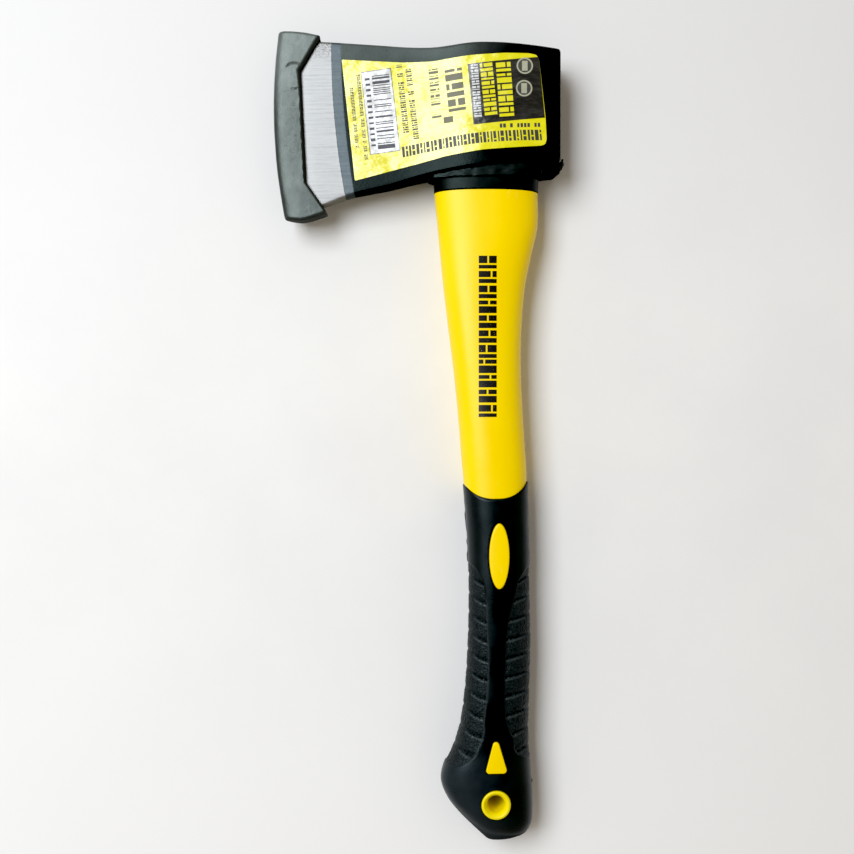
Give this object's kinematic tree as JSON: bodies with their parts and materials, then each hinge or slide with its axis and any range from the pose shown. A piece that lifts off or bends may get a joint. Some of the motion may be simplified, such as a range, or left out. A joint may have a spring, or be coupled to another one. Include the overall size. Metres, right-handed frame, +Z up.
{
  "type": "hand axe",
  "caption": "Small single-bit axe with a steel head, a fibreglass-cored plastic handle, a rubber grip with a hanging hole, and a pull-off rubber edge guard.",
  "frame": {"origin": "middle of the base of the box around the axe as it lies on its side, head and guard included", "axes": "+Y along the handle towards the head, +X towards the poll, +Z up through the thickness, from the lower cheek to the upper one"},
  "size_m": [0.137, 0.3824, 0.0273],
  "materials": {
    "head_steel": "gloss black paint over forged steel, ground bare at the bit",
    "seal_rubber": "matte",
    "epoxy": "poured epoxy",
    "collar_rubber": "rough matte",
    "fibreglass": "pultruded glass fibre rod",
    "jacket_plastic": "satin moulded polypropylene",
    "grip_rubber": "moulded rubber with pebbled panels",
    "guard_rubber": "matte moulded rubber",
    "label_vinyl": "printed vinyl"
  },
  "bodies": {
    "axe": {"axe_head": "head_steel", "eye_seal": "seal_rubber", "eye_epoxy": "epoxy", "neck_collar": "collar_rubber", "fibreglass_core": "fibreglass", "handle_jacket": "jacket_plastic", "grip_sleeve": "grip_rubber", "cheek_label": "label_vinyl"},
    "guard": {"edge_guard": "guard_rubber"}
  },
  "joints": [
    {"name": "guard_slide", "type": "slide", "parent": "axe", "child": "guard", "axis": [-1, 0, 0], "range_m": [0, 0.04]}
  ]
}
